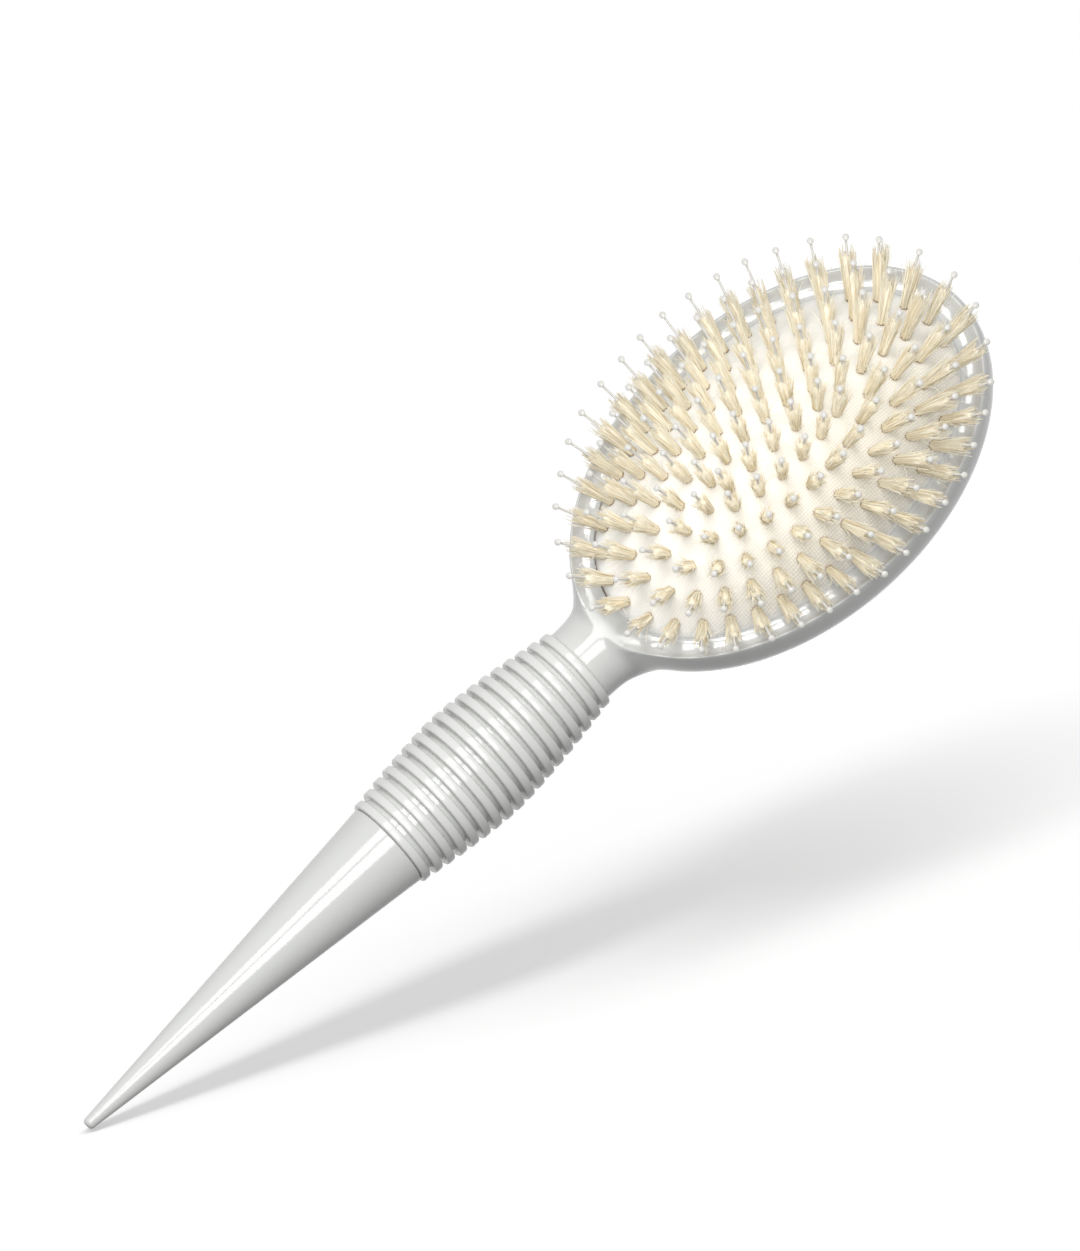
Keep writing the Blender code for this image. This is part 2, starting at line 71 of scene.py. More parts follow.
def setUpCamera():
    data = bpy.data.cameras.new("photoCamera")
    data.lens = cameraSettings["lens"]
    data.sensor_width = cameraSettings["sensor"]
    data.sensor_fit = "AUTO"
    data.clip_end = cameraSettings["farEnd"]
    camera = bpy.data.objects.new("photoCamera", data)
    camera.location = cameraSettings["place"]
    camera.rotation_euler = [math.radians(angle) for angle in cameraSettings["turn"]]
    bpy.context.scene.collection.objects.link(camera)
    bpy.context.scene.camera = camera


setUpCamera()
print("camera set")


# Helpers for the materials.
def newMaterial(name, settings):
    material = bpy.data.materials.new(name)
    material.use_nodes = True
    shader = material.node_tree.nodes["Principled BSDF"]
    for socket, value in settings.items():
        shader.inputs[socket].default_value = value
    return material, material.node_tree, shader


def addNode(tree, kind, inputs=None, **options):
    # inputs maps a socket's name or number to a value or to another node's output
    node = tree.nodes.new(kind)
    for option, value in options.items():
        setattr(node, option, value)
    for socket, value in (inputs or {}).items():
        if isinstance(value, bpy.types.NodeSocket):
            tree.links.new(value, node.inputs[socket])
        else:
            node.inputs[socket].default_value = value
    return node


def addMath(tree, operation, *values, clamp=False):
    node = addNode(tree, "ShaderNodeMath", dict(enumerate(values)), operation=operation, use_clamp=clamp)
    return node.outputs[0]


def remap(tree, value, low, high, newLow, newHigh):
    node = addNode(tree, "ShaderNodeMapRange", {0: value, 1: low, 2: high, 3: newLow, 4: newHigh})
    return node.outputs[0]


def mixColours(tree, factor, first, second):
    node = addNode(tree, "ShaderNodeMix", {"Factor": factor}, data_type="RGBA")
    for socket, value in ((node.inputs[6], first), (node.inputs[7], second)):
        if isinstance(value, bpy.types.NodeSocket):
            tree.links.new(value, socket)
        else:
            socket.default_value = (*value, 1.0)
    return node.outputs[2]


def objectPoint(tree):
    return addNode(tree, "ShaderNodeTexCoord").outputs["Object"]


def noiseAt(tree, point, scale, detail=3.0):
    inputs = {"Vector": point, "Scale": scale, "Detail": detail}
    return addNode(tree, "ShaderNodeTexNoise", inputs).outputs["Fac"]


def addBump(tree, shader, height, strength, distance):
    inputs = {"Height": height, "Strength": strength, "Distance": distance}
    bump = addNode(tree, "ShaderNodeBump", inputs)
    tree.links.new(bump.outputs["Normal"], shader.inputs["Normal"])


# Moulded white plastic, glossy on the head, core and tail, satin on the rings; the head's channel is
# painted paler, a painted highlight.
plasticFinish = {
    "glossColour": (0.645, 0.653, 0.636),
    "ringColour": (0.70, 0.707, 0.688),
    "shine": 0.50,
    # the channel's paler colour is a painted highlight on the same plastic
    "channelColour": (0.75, 0.757, 0.745),
    "channelShine": 1.0,  # the channel round the pad is polished more than the rest
    "glossRoughness": (0.08, 0.14),
    "ringRoughness": (0.16, 0.24),
    "clouding": 0.03,  # how much paler or darker the plastic drifts along the piece
    "flowScale": 28.0,
    "rippleScale": 420.0,
    "rippleDetail": 2.0,
    "rippleRange": (0.3, 0.7),
    "rippleStrength": 0.15,
    "rippleDepth": 0.02 * mm,
}


def makePlastic(name, colour, roughness, polishedAndPaintedLight=False):
    # where the mesh marks the channel, the plastic is shinier and painted paler, a painted highlight
    material, tree, shader = newMaterial(name, {"IOR": 1.49, "Specular IOR Level": plasticFinish["shine"]})
    point = objectPoint(tree)
    flow = noiseAt(tree, point, plasticFinish["flowScale"])
    drift = plasticFinish["clouding"]
    darker = tuple(part * (1 - drift) for part in colour)
    paler = tuple(min(1.0, part * (1 + drift)) for part in colour)
    surface = mixColours(tree, flow, darker, paler)
    if polishedAndPaintedLight:
        polish = addNode(tree, "ShaderNodeAttribute", attribute_name="polish").outputs["Fac"]
        surface = mixColours(tree, polish, surface, plasticFinish["channelColour"])
        level = remap(tree, polish, 0.0, 1.0, plasticFinish["shine"], plasticFinish["channelShine"])
        tree.links.new(level, shader.inputs["Specular IOR Level"])
    tree.links.new(surface, shader.inputs["Base Color"])
    ripple = noiseAt(tree, point, plasticFinish["rippleScale"], plasticFinish["rippleDetail"])
    dull = remap(tree, ripple, *plasticFinish["rippleRange"], *roughness)
    tree.links.new(dull, shader.inputs["Roughness"])
    addBump(tree, shader, ripple, plasticFinish["rippleStrength"], plasticFinish["rippleDepth"])
    return material


gloss = plasticFinish["glossColour"], plasticFinish["glossRoughness"]
glossPlastic = makePlastic("glossWhitePlastic", *gloss)
headPlastic = makePlastic("headWhitePlastic", *gloss, polishedAndPaintedLight=True)
satinPlastic = makePlastic("satinWhitePlastic", plasticFinish["ringColour"], plasticFinish["ringRoughness"])


# Woven cotton facing of the cushion.
clothFinish = {
    "thread": (0.99, 0.985, 0.955),
    "threadDrift": 0.97,  # the darkest thread's share of the palest one's colour
    "toneScale": 45.0,
    "gap": (0.74, 0.65, 0.49),
    "gapShare": 0.65,  # how much of the gaps' colour shows between the threads
    "gapSharpness": 3.5,
    "edge": (0.15, 0.075, 0.03),
    "patchScale": 500.0,  # the dark edge shows in patches
    "patchDetail": 2.0,
    "patchRange": (0.36, 0.46),
    # brownish ring round each tuft's root, darkest next to it: partly the hole's own brown edge, partly
    # painted shade where the tuft stands on the cloth
    "root": (0.42, 0.30, 0.16),
    "threadPitch": 0.58 * mm,
    "wanderScale": 160.0,
    "wanderDetail": 2.0,
    "wander": 2.0,  # most that a thread strays to both sides together, in radians of its wave
    "fewRibs": 0.45,  # share of the ribs' depth that is left on the pad's lit side, where the gaps get the least painted shade
    "weaveStrength": 0.6,
    "weaveDepth": 0.10 * mm,
    "roughness": 0.85,
}


def makeCloth():
    material, tree, shader = newMaterial("wovenFacing", {
        "Roughness": clothFinish["roughness"],
        "Sheen Weight": 0.3,
        "Sheen Roughness": 0.6,
        "Specular IOR Level": 0.2,
    })
    point = objectPoint(tree)
    place = addNode(tree, "ShaderNodeSeparateXYZ", {0: point})
    wander = noiseAt(tree, point, clothFinish["wanderScale"], clothFinish["wanderDetail"])
    turns = 2 * math.pi / clothFinish["threadPitch"]
    wobble = addMath(tree, "MULTIPLY", addMath(tree, "SUBTRACT", wander, 0.5), clothFinish["wander"])

    def threadWave(along):
        phase = addMath(tree, "ADD", addMath(tree, "MULTIPLY", along, turns), wobble)
        return remap(tree, addMath(tree, "SINE", phase), -1.0, 1.0, 0.0, 1.0)

    ribs = threadWave(place.outputs["Y"])  # ribs run along the brush
    cross = threadWave(place.outputs["X"])
    # the gaps between the threads show darker, and the crossing threads show more, towards the far right
    # side of the pad, the side away from the lamps: partly the weave itself, partly painted shade
    side = addNode(tree, "ShaderNodeAttribute", attribute_name="openWeave").outputs["Fac"]
    crossShown = addMath(tree, "MULTIPLY", cross, side)
    ribDepth = remap(tree, side, 0.0, 1.0, clothFinish["fewRibs"], 1.0)
    ribShown = addMath(tree, "MULTIPLY", ribs, ribDepth)
    lowest = addMath(tree, "MAXIMUM", crossShown, ribShown)
    shade = addMath(tree, "POWER", lowest, clothFinish["gapSharpness"])
    tone = noiseAt(tree, point, clothFinish["toneScale"])
    darkest = tuple(part * clothFinish["threadDrift"] for part in clothFinish["thread"])
    threads = mixColours(tree, tone, clothFinish["thread"], darkest)
    gapShown = addMath(tree, "MULTIPLY", shade, clothFinish["gapShare"])
    woven = mixColours(tree, gapShown, threads, clothFinish["gap"])
    # browner close to each root: partly the hole's brown edge, partly painted shade at the tuft's foot
    rootTint = addNode(tree, "ShaderNodeAttribute", attribute_name="rootTint").outputs["Fac"]
    tinted = mixColours(tree, rootTint, woven, clothFinish["root"])
    edgeTint = addNode(tree, "ShaderNodeAttribute", attribute_name="edgeTint").outputs["Fac"]
    patches = noiseAt(tree, point, clothFinish["patchScale"], clothFinish["patchDetail"])
    patchy = remap(tree, patches, *clothFinish["patchRange"], 0.0, 1.0)
    edged = mixColours(tree, addMath(tree, "MULTIPLY", edgeTint, patchy), tinted, clothFinish["edge"])
    tree.links.new(edged, shader.inputs["Base Color"])
    height = addMath(tree, "SUBTRACT", 1.0, lowest)
    addBump(tree, shader, height, clothFinish["weaveStrength"], clothFinish["weaveDepth"])
    return material


facingCloth = makeCloth()


# Boar bristle and pale ball-tip pins.
bristleFinish = {
    "root": (0.25, 0.135, 0.055),
    "body": (0.935, 0.875, 0.695),
    "tip": (0.96, 0.92, 0.78),
    "dark": (0.76, 0.62, 0.38),
    "darkShare": 0.85,  # how far the darkest hair goes towards the dark colour
    "rootFade": (0.055, 0.090),  # shares of a hair's length between which the dark foot fades: partly the root's own colour, partly painted shade where the tuft goes into the cloth
    "roughness": 0.42,
}


def makeBristle():
    material, tree, shader = newMaterial("boarBristle", {
        "Roughness": bristleFinish["roughness"],
        "Specular IOR Level": 0.6,
        "Sheen Weight": 0.25,
        "Sheen Roughness": 0.4,
        "Sheen Tint": (1.0, 0.93, 0.76, 1.0),
    })
    along = addNode(tree, "ShaderNodeAttribute", attribute_name="along").outputs["Fac"]
    shade = addNode(tree, "ShaderNodeAttribute", attribute_name="shade").outputs["Fac"]
    toTip = mixColours(tree, along, bristleFinish["body"], bristleFinish["tip"])
    darkness = addMath(tree, "MULTIPLY", shade, bristleFinish["darkShare"])
    varied = mixColours(tree, darkness, toTip, bristleFinish["dark"])
    # the hair's foot is dark brown: partly its own colour, partly painted shade where the tuft goes into
    # the cloth
    fromRoot = remap(tree, along, *bristleFinish["rootFade"], 1.0, 0.0)
    rooted = mixColours(tree, fromRoot, varied, bristleFinish["root"])
    tree.links.new(rooted, shader.inputs["Base Color"])
    return material


pinFinish = {
    # the thin stem is painted a little darker than the ball of the same nylon: painted shade
    "stem": (0.66, 0.64, 0.595),
    "ball": (0.71, 0.695, 0.655),
    "rippleScale": 900.0,
    "rippleDetail": 2.0,
    "rippleStrength": 0.1,
    "rippleDepth": 0.02 * mm,
}


def makePinNylon():
    material, tree, shader = newMaterial("clearNylon", {
        "Roughness": 0.12,
        "IOR": 1.5,
        "Specular IOR Level": 0.35,
    })
    point = objectPoint(tree)
    ripple = noiseAt(tree, point, pinFinish["rippleScale"], pinFinish["rippleDetail"])
    ball = addNode(tree, "ShaderNodeAttribute", attribute_name="ball").outputs["Fac"]
    # darker on the stem than on the ball: painted shade on the thin stem
    colour = mixColours(tree, ball, pinFinish["stem"], pinFinish["ball"])
    tree.links.new(colour, shader.inputs["Base Color"])
    addBump(tree, shader, ripple, pinFinish["rippleStrength"], pinFinish["rippleDepth"])
    return material


bristleHair = makeBristle()
pinNylon = makePinNylon()
print("materials made")


# Modelling steps that several pieces share.
def newPiece(name, bm, body, material, replaced=()):
    # the finished mesh becomes an object at the origin that rides on its body, and stands for the
    # CAD nodes in replaced
    bmesh.ops.recalc_face_normals(bm, faces=bm.faces[:])
    mesh = bpy.data.meshes.new(name)
    bm.to_mesh(mesh)
    bm.free()
    mesh.shade_smooth()
    mesh.materials.append(material)
    piece = bpy.data.objects.new(name, mesh)
    bpy.context.scene.collection.objects.link(piece)
    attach(piece, body)
    if replaced:
        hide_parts(*replaced)
    return piece


def smoothPiece(piece, levels):
    smooth = piece.modifiers.new("smooth", "SUBSURF")
    smooth.levels = levels
    smooth.render_levels = levels


def raiseTube(bm, segments, rowCount):
    # a circle extruded upwards one unit at a time, so a point's height tells its row
    bmesh.ops.create_circle(bm, cap_ends=False, radius=1.0, segments=segments)
    edges = bm.edges[:]
    for row in range(1, rowCount):
        made = bmesh.ops.extrude_edge_only(bm, edges=edges)["geom"]
        raised = [item for item in made if isinstance(item, bmesh.types.BMVert)]
        bmesh.ops.translate(bm, vec=(0.0, 0.0, 1.0), verts=raised)
        edges = [item for item in made if isinstance(item, bmesh.types.BMEdge) and item.is_boundary]


def edgesOf(verts):
    # the edges at these points, each once and always in the same order
    return list(dict.fromkeys(edge for vert in verts for edge in vert.link_edges))


def spinPiece(bm, steps):
    geometry = bm.verts[:] + bm.edges[:]
    bmesh.ops.spin(
        bm, geom=geometry, cent=(0.0, 0.0, layout["axisHeight"]), axis=(1.0, 0.0, 0.0),
        dvec=(0.0, 0.0, 0.0), angle=2 * math.pi, steps=steps, use_merge=True,
    )
    bmesh.ops.remove_doubles(bm, verts=bm.verts[:], dist=layout["weld"])


def drawProfile(bm, points, closed=True):
    # a line through places along the brush and radii, drawn above the grip's axis
    verts = [bm.verts.new((x, 0.0, layout["axisHeight"] + radius)) for x, radius in points]
    for first, second in zip(verts, verts[1:]):
        bm.edges.new((first, second))
    if closed:
        bm.edges.new((verts[-1], verts[0]))
    return verts


def roundCorners(bm, corners, radius, segments):
    bmesh.ops.bevel(
        bm, geom=corners, offset=radius, offset_type="OFFSET", segments=segments, profile=0.5,
        affect="VERTICES", material=-1,
    )


def between(first, second, share):
    return first + (second - first) * share


def clamp(value):
    return min(1.0, max(0.0, value))


# Places that the pieces share, as the CAD has them.
layout = {
    "weld": 0.004 * mm,  # points of a turned piece closer than this become one
    "headX": frame["record"]["mounts"][0]["pos_m"][0],
    "axisHeight": 12.7 * mm,
    "seat": 0.3 * mm,
    "padLength": 43.8 * mm,  # half lengths and half widths of the pad's edge
    "padWidth": 26.4 * mm,
    "padEdge": 23.0 * mm,
    "padCrown": 10.6 * mm,
    "padCurve": 2.54,
    "flangeTop": 20.7 * mm,
    "flangeBottom": 19.5 * mm,
    "flangeReach": 2.3 * mm,
}


def drawnIn(points):
    # the share of its size that subdivision leaves of a ring of so many points
    return (4 + 2 * math.cos(2 * math.pi / points)) / 6


def domeHeight(x, y):
    reach = math.hypot(x / layout["padLength"], y / layout["padWidth"])
    return layout["padEdge"] + layout["padCrown"] * (1 - reach ** layout["padCurve"])


def padOval(offset):
    return layout["padLength"] + offset, layout["padWidth"] + offset


# Places of the tufts: a centre row with five ovals round it.
tuftLayout = {
    "centreRow": 5,
    "ovals": 5,
    "centreHalf": 12.1 * mm,
    "insetLength": 2.2 * mm,
    "insetWidth": 2.0 * mm,
    "crowding": 0.15,
    "splay": 1.1,  # above 1 the tufts lean out more than the dome does
    "fine": 1440,  # steps in which an oval's length is measured
}


def ovalSize(k):
    share = k / tuftLayout["ovals"]
    length = between(tuftLayout["centreHalf"], layout["padLength"] - tuftLayout["insetLength"], share)
    widthShare = share + tuftLayout["crowding"] * share * (1 - share)
    return length, (layout["padWidth"] - tuftLayout["insetWidth"]) * widthShare


def evenAngles(length, width, count):
    # angles of points spaced evenly along an oval, from its head end
    fine = tuftLayout["fine"]
    steps = [0.0]
    for i in range(fine):
        first = 2 * math.pi * i / fine
        second = 2 * math.pi * (i + 1) / fine
        stepX = length * (math.cos(second) - math.cos(first))
        stepY = width * (math.sin(second) - math.sin(first))
        steps.append(steps[-1] + math.hypot(stepX, stepY))
    angles = []
    i = 0
    for n in range(count):
        wanted = steps[-1] * n / count
        while steps[i + 1] < wanted:
            i += 1
        angles.append(2 * math.pi * (i + (wanted - steps[i]) / (steps[i + 1] - steps[i])) / fine)
    return angles


def tuftPlaces(k):
    # root and lean of each tuft of one oval
    length, width = ovalSize(k)
    if k == 0:
        last = tuftLayout["centreRow"] - 1
        flat = [(length * (2 * i / last - 1), 0.0) for i in range(last + 1)]
    else:
        count = 2 * (tuftLayout["centreRow"] - 1) + 6 * k
        flat = [(length * math.cos(a), width * math.sin(a)) for a in evenAngles(length, width, count)]
    places = []
    for x, y in flat:
        reach = max(math.hypot(x / layout["padLength"], y / layout["padWidth"]), 0.001)
        steep = layout["padCrown"] * layout["padCurve"] * reach ** (layout["padCurve"] - 2)
        steep *= tuftLayout["splay"]
        lean = Vector((steep * x / layout["padLength"] ** 2, steep * y / layout["padWidth"] ** 2, 1.0))
        places.append((Vector((x + layout["headX"], y, domeHeight(x, y))), lean.normalized()))
    return places


# Head, with its rim channel, well for the cushion, neck and tang.
headShape = {
    "crestLength": 48.9 * mm,  # half lengths and half widths of the rim's crest
    "crestWidth": 30.9 * mm,
    "rim": 23.6 * mm,
    "openingEdge": 22.6 * mm,
    "seam": 0.06 * mm,  # gap between the pad's cloth and the channel's inner lip
    "channel": 21.7 * mm,
    "crestRound": 0.2 * mm,
    "shoulderFlare": 1.0 * mm,
    "shoulder": 22.7 * mm,
    "flare": 1.7 * mm,
    "flareFade": 0.8,
    "widest": 16.6 * mm,
    "backFlat": 0.42,
    "chamberFloor": 3.4 * mm,
    "segments": 64,
    "neckSide": 4,  # segments each side of the middle that the neck takes
    "saddleFull": 12.0,  # degrees from the neck's middle, where the saddle starts to rise into the crest
    "saddleEnd": 21.0,
    "neckRadius": 8.4 * mm,
    "neckSeat": 0.1 * mm,  # how far the neck's end sits in the first ring
    "tangRadius": 5.0 * mm,
    "levels": 2,
}


def headRows():
    # half length, half width, flare, height, height over the neck, crease; from the chamber's floor up
    # the well, over the rim, and down the wall to the flat back. The saddle is the share of the way
    # from the channel's lip up to the neck's top that a row rises to over the neck.
    shape = headShape
    pull = drawnIn(shape["segments"])
    opening = padOval(shape["seam"])
    groove = padOval(layout["flangeReach"] + layout["seat"])
    ledge = padOval(-0.6 * mm)
    grooveTop = layout["flangeTop"] + layout["seat"]
    grooveBottom = layout["flangeBottom"] - layout["seat"]
    neckTop = layout["axisHeight"] + shape["neckRadius"]
    edge = shape["openingEdge"]
    widest = shape["widest"]

    def oval(size, height, crease=0.0):
        return size[0] / pull, size[1] / pull, 0.0, height, height, crease

    def pad(share, height):
        return layout["padLength"] * share, layout["padWidth"] * share, 0.0, height, height, 0.0

    def across(share, height, saddle):
        length = between(opening[0], shape["crestLength"], share) / pull
        width = between(opening[1], shape["crestWidth"], share) / pull
        return length, width, 0.0, height, between(edge, neckTop, saddle), 0.0

    def wall(flare, height, saddle=None, crease=0.0):
        over = height if saddle is None else between(edge, neckTop, saddle)
        return shape["crestLength"] / pull, shape["crestWidth"] / pull, flare / pull, height, over, crease

    def back(share, height):
        scale = share / pull
        length, width, flare = (shape[key] * scale for key in ("crestLength", "crestWidth", "flare"))
        return length, width, flare, height, height, 0.0

    return [
        pad(0.42, shape["chamberFloor"]),
        pad(0.78, 5.8 * mm),
        oval(ledge, 14.5 * mm),
        oval(ledge, grooveBottom, 1.0),
        oval(groove, grooveBottom, 1.0),
        oval(groove, grooveTop, 1.0),
        oval(opening, grooveTop, 1.0),
        across(0.0, edge, 0.0),
        across(0.04, edge - 0.45 * mm, 0.05),
        across(0.12, shape["channel"] + 0.1 * mm, 0.14),
        across(0.4, shape["channel"], 0.40),
        across(0.7, shape["channel"] + 0.05 * mm, 0.60),
        across(0.9, shape["rim"] - shape["crestRound"], 0.72),
        wall(shape["crestRound"] / 2, shape["rim"] + shape["crestRound"], 0.77, 0.3),
        wall(shape["shoulderFlare"], shape["shoulder"], 0.785),
        wall(shape["flare"] * 0.85, between(shape["rim"], widest, 0.45)),
        wall(shape["flare"] * 1.1, widest),
        back(0.975, widest * 0.72),
        back(0.87, widest * 0.34),
        back(0.68, widest * 0.1),
        back(shape["backFlat"] * 1.25, 0.0),
        back(shape["backFlat"], 0.0),
    ]


def buildHead():
    shape = headShape
    rows = headRows()
    neckTopRow, neckBottomRow = len(rows) - 8, len(rows) - 4
    channelRows = range(len(rows) - 14, len(rows) - 9)  # from the lip's foot to below the crest
    bm = bmesh.new()
    crease = bm.edges.layers.float.new("crease_edge")
    raiseTube(bm, shape["segments"], len(rows))
    bmesh.ops.holes_fill(bm, edges=bm.edges[:], sides=0)

    # the neck's window in the wall at the tail end
    neckAngle = math.cos(2 * math.pi * (shape["neckSide"] - 0.5) / shape["segments"])
    windowFaces = []
    for face in bm.faces:
        middle = face.calc_center_median()
        towardsTail = -middle.x / max(math.hypot(middle.x, middle.y), 0.001)
        if neckTopRow < middle.z < neckBottomRow and towardsTail > neckAngle - 0.001:
            windowFaces.append(face)
    bmesh.ops.delete(bm, geom=windowFaces, context="FACES")
    window = [edge for edge in bm.edges if edge.is_boundary]

    # each row goes to its own oval, and dips to its other height over the neck
    for edge in bm.edges:
        first, second = (round(vert.co.z) for vert in edge.verts)
        if first == second:
            middle = edge.verts[0].co + edge.verts[1].co
            fromTail = math.degrees(math.pi - abs(math.atan2(middle.y, middle.x)))
            softened = rows[first][5] < 1 and fromTail < shape["saddleEnd"]
            edge[crease] = 0.0 if softened else rows[first][5]
    # the channel's rows are marked for more shine and for their paler colour, a painted highlight
    polish = bm.verts.layers.float.new("polish")
    for vert in bm.verts:
        row = round(vert.co.z)
        length, width, flare, height, overNeck, _ = rows[row]
        angle = math.atan2(vert.co.y, vert.co.x)
        fromTail = math.degrees(math.pi - abs(angle))
        fade = 1 - shape["flareFade"] * ((1 - math.cos(angle)) / 2) ** 2
        dip = (shape["saddleEnd"] - fromTail) / (shape["saddleEnd"] - shape["saddleFull"])
        dip = clamp(dip)
        vert[polish] = 1 - dip if row in channelRows else 0.0
        vert.co.x = layout["headX"] + (length + flare * fade) * math.cos(angle)
        vert.co.y = (width + flare * fade) * math.sin(angle)
        vert.co.z = between(height, overNeck, dip)

    # the neck, bridged to the window and drawn out to the first ring, then the tang inside the grip;
    # its first rows bend round the wall at the sides
    wallEnd = layout["headX"] - shape["crestLength"] - shape["flare"] * (1 - shape["flareFade"])
    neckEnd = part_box("grip_ring_01")[1].x - shape["neckSeat"]
    pull = drawnIn(len(window))
    quarterTurn = Matrix.Rotation(math.pi / 2, 4, "Y")
    stations = [  # radius, what the sides add to it, place, bend of the sides, crease
        (shape["neckRadius"] * 1.03, 0.8 * mm, wallEnd - 0.7 * mm, 2.0 * mm, 0.0),
        (shape["neckRadius"] * 1.013, 0.1 * mm, wallEnd - 2.1 * mm, 0.9 * mm, 0.0),
        (shape["neckRadius"], 0.0, between(wallEnd, neckEnd, 0.6), 0.0, 0.0),
        (shape["neckRadius"], 0.0, neckEnd, 0.0, 1.0),
        (shape["tangRadius"], 0.0, neckEnd, 0.0, 1.0),
        (shape["tangRadius"] * 0.94, 0.0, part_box("head_and_neck")[0].x, 0.0, 1.0),
    ]
    start = Vector((0.0, 0.0, layout["axisHeight"]))
    made = bmesh.ops.create_circle(
        bm, cap_ends=False, radius=1 / pull, segments=len(window),
        matrix=Matrix.Translation(start) @ quarterTurn,
    )
    verts = made["verts"]
    ring = edgesOf(verts)
    for row, (radius, sides, place, bend, newCrease) in enumerate(stations):
        if row == 1:
            bmesh.ops.bridge_loops(bm, edges=window + ring)
        if row:
            made = bmesh.ops.extrude_edge_only(bm, edges=ring)["geom"]
            verts = [item for item in made if isinstance(item, bmesh.types.BMVert)]
            ring = [item for item in made if isinstance(item, bmesh.types.BMEdge) and item.is_boundary]
        for vert in verts:
            out = Vector((0.0, vert.co.y, vert.co.z - layout["axisHeight"])).normalized()
            reach = (radius + sides * out.y ** 2) / pull
            vert.co = (place + bend * out.y ** 2, out.y * reach, layout["axisHeight"] + out.z * reach)
        for edge in ring:
            edge[crease] = newCrease
    bmesh.ops.holes_fill(bm, edges=ring, sides=0)

    head = newPiece("headShell", bm, "handle", headPlastic, ["head_and_neck"])
    smoothPiece(head, shape["levels"])


buildHead()
print("head built")


# Cushion: a cloth-faced rubber dome with its flange in the head's groove.
cushionShape = {
    "segments": 256,
    "domeRows": 62,
    "innerRows": 10,
    "innerShrink": 0.92,  # the rows under the dome shrink by this share of the pad's size
    "innerLeft": 0.02,
    "thickness": 1.9 * mm,
    "dimpleDepth": 0.28 * mm,
    "dimpleReach": 2.1 * mm,
    "tintReach": 1.6 * mm,
    "edgeRound": 0.3 * mm,
    "seamMiddle": 146.0,  # degrees round the pad, where its edge is darkest
    "seamStart": 0.78,  # cosine of the angle from there, where the dark edge starts
    "seamFade": 0.12,
    "seamOnDome": 0.25,  # how much of it shows on the dome's last row
    "overlap": 0.12 * mm,  # how far the cloth's edge runs over the channel's inner lip
    "edgeHeight": 22.54 * mm,
    "edgeRise": 0.24 * mm,
    "edgeThickness": 0.25 * mm,
    "lipInset": 2.9 * mm,
    "openTowards": (0.33019, -0.943396),  # the side of the pad away from the lamps, where the weave's gaps show more: partly the weave, partly painted shade
    "openMiddle": 0.5,
    "openSlope": 0.85,
}


def buildCushion():
    shape = cushionShape
    domeRows = shape["domeRows"]
    innerRows = shape["innerRows"]
    edgeRows = [
        (padOval(0.0), shape["edgeHeight"] + shape["edgeRise"]),
        (padOval(shape["overlap"]), shape["edgeHeight"]),
        (padOval(shape["overlap"]), shape["edgeHeight"] - shape["edgeThickness"]),
        (padOval(0.0), layout["flangeTop"]),
        (padOval(layout["flangeReach"]), layout["flangeTop"]),
        (padOval(layout["flangeReach"]), layout["flangeBottom"]),
        (padOval(-shape["lipInset"]), layout["flangeBottom"]),
    ]
    bm = bmesh.new()
    raiseTube(bm, shape["segments"], domeRows + len(edgeRows) + innerRows)
    bmesh.ops.holes_fill(bm, edges=bm.edges[:], sides=0)
    roots = [root for k in range(tuftLayout["ovals"] + 1) for root, lean in tuftPlaces(k)]
    near = kdtree.KDTree(len(roots))
    for i, root in enumerate(roots):
        near.insert((root.x, root.y, 0.0), i)
    near.balance()
    rootTint = bm.verts.layers.float.new("rootTint")
    edgeTint = bm.verts.layers.float.new("edgeTint")
    openWeave = bm.verts.layers.float.new("openWeave")
    openX, openY = shape["openTowards"]
    for vert in bm.verts:
        row = round(vert.co.z)
        angle = math.atan2(vert.co.y, vert.co.x)
        drop = 0.0
        if row < domeRows:
            share = (row + 0.5) / (domeRows - 0.5)
            size = [(length - shape["edgeRound"]) * share for length in padOval(0.0)]
        elif row < domeRows + len(edgeRows):
            size, height = edgeRows[row - domeRows]
        else:
            inner = row - domeRows - len(edgeRows)
            share = shape["innerShrink"] * (1 - inner / innerRows) + shape["innerLeft"]
            size = (layout["padLength"] * share, layout["padWidth"] * share)
            drop = shape["thickness"]
        x = size[0] * math.cos(angle)
        y = size[1] * math.sin(angle)
        if row < domeRows or drop:
            height = domeHeight(x, y) - drop
        if row < domeRows:
            gap = near.find((x + layout["headX"], y, 0.0))[2]
            height -= shape["dimpleDepth"] * max(0.0, 1 - gap / shape["dimpleReach"]) ** 2
            # the cloth is painted browner close to each root: partly the hole's brown edge, partly painted
            # shade round the tuft's foot
            vert[rootTint] = max(0.0, 1 - gap / shape["tintReach"]) ** 2
            # the weave's gaps are painted darker towards the pad's side away from the lamps: partly the
            # weave, partly painted shade
            away = openX * x / layout["padLength"] + openY * y / layout["padWidth"]
            vert[openWeave] = clamp(shape["openMiddle"] + shape["openSlope"] * away)
        if row >= domeRows - 1:
            turned = math.cos(angle - math.radians(shape["seamMiddle"]))
            shown = shape["seamOnDome"] if row < domeRows else 1.0
            vert[edgeTint] = clamp((turned - shape["seamStart"]) / shape["seamFade"]) * shown
        vert.co = (x + layout["headX"], y, height)
    piece = newPiece("clothCushion", bm, "handle", facingCloth, ["cushion"])
    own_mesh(piece)


buildCushion()
print("cushion built")


